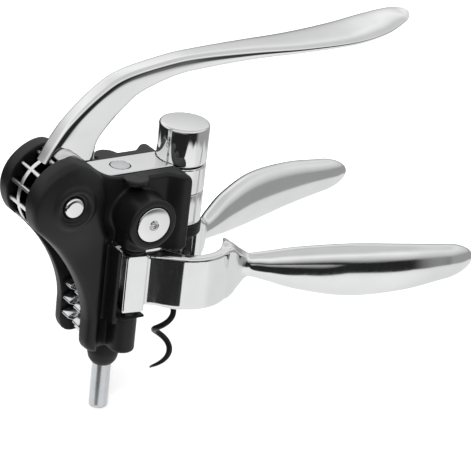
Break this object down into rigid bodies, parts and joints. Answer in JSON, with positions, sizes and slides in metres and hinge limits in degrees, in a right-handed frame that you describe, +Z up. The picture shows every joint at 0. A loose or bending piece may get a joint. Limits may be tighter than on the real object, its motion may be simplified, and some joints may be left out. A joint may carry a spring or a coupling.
{
  "type": "lever corkscrew",
  "caption": "Lever corkscrew: geared lever lifts a rack and worm carriage between two black shells, with two hinged jaws that grip a bottle neck.",
  "frame": {"origin": "middle of the bottle neck held between the jaws: on the worm's axis, half way up the jaw rings", "axes": "+X from the body towards the tips of the handles and lever, +Z up along the worm, +Y to the left-hand jaw"},
  "size_m": [0.1992, 0.1021, 0.1638],
  "materials": {
    "polished_chrome": "bright chrome plate on a zinc casting, mirror polished",
    "rack_chrome": "chrome plate, as cast between the teeth",
    "bright_steel": "ground bright steel",
    "black_shell": "satin black moulded plastic",
    "black_nylon": "black glass-filled nylon",
    "nonstick_worm": "black non-stick coating on steel wire",
    "bronze": "plain bronze washer"
  },
  "bodies": {
    "body": {"right_side_shell": "black_shell", "left_side_shell": "black_shell", "right_axle_cap": "polished_chrome", "left_axle_cap": "polished_chrome", "right_frame_screw": "polished_chrome", "left_frame_screw": "polished_chrome", "right_hinge_pin": "bright_steel", "left_hinge_pin": "bright_steel", "right_hinge_washer": "black_nylon", "left_hinge_washer": "black_nylon", "lever_axle": "bright_steel", "guide_block": "black_nylon", "guide_collar": "black_nylon", "nut_sleeve": "polished_chrome", "nut_collar": "black_nylon", "worm_nut": "black_nylon"},
    "lever": {"lever": "polished_chrome", "lever_bush": "black_nylon"},
    "carriage": {"bridge": "polished_chrome", "worm_cap": "polished_chrome", "guide_rod": "bright_steel", "rack": "rack_chrome", "upper_rack_pin": "bright_steel", "lower_rack_pin": "bright_steel", "thrust_washer": "bronze", "retaining_ring": "bright_steel"},
    "worm": {"worm": "nonstick_worm", "worm_hub": "black_nylon"},
    "right_jaw": {"right_jaw": "polished_chrome", "right_jaw_bush": "black_nylon"},
    "left_jaw": {"left_jaw": "polished_chrome", "left_jaw_bush": "black_nylon"}
  },
  "joints": [
    {"name": "lever_swing", "type": "hinge", "parent": "body", "child": "lever", "pos_m": [-0.0585, 0, 0.0392], "axis": [0, -1, 0], "range_deg": [0, 200]},
    {"name": "carriage_lift", "type": "slide", "parent": "body", "child": "carriage", "axis": [0, 0, 1], "range_m": [0, 0.051]},
    {"name": "worm_spin", "type": "hinge", "parent": "carriage", "child": "worm", "pos_m": [0, 0, 0.0465], "axis": [0, 0, 1], "range_deg": [0, 980]},
    {"name": "right_jaw_swing", "type": "hinge", "parent": "body", "child": "right_jaw", "pos_m": [-0.029, -0.0165, 0], "axis": [0, 0, -1], "range_deg": [-10, 22]},
    {"name": "left_jaw_swing", "type": "hinge", "parent": "body", "child": "left_jaw", "pos_m": [-0.029, 0.0165, 0], "axis": [0, 0, 1], "range_deg": [-9, 23]}
  ],
  "couplings": [
    {"joint": "carriage_lift", "follows": "lever_swing", "m_per_rad": 0.0143},
    {"joint": "worm_spin", "follows": "lever_swing", "ratio": 4.8567}
  ]
}
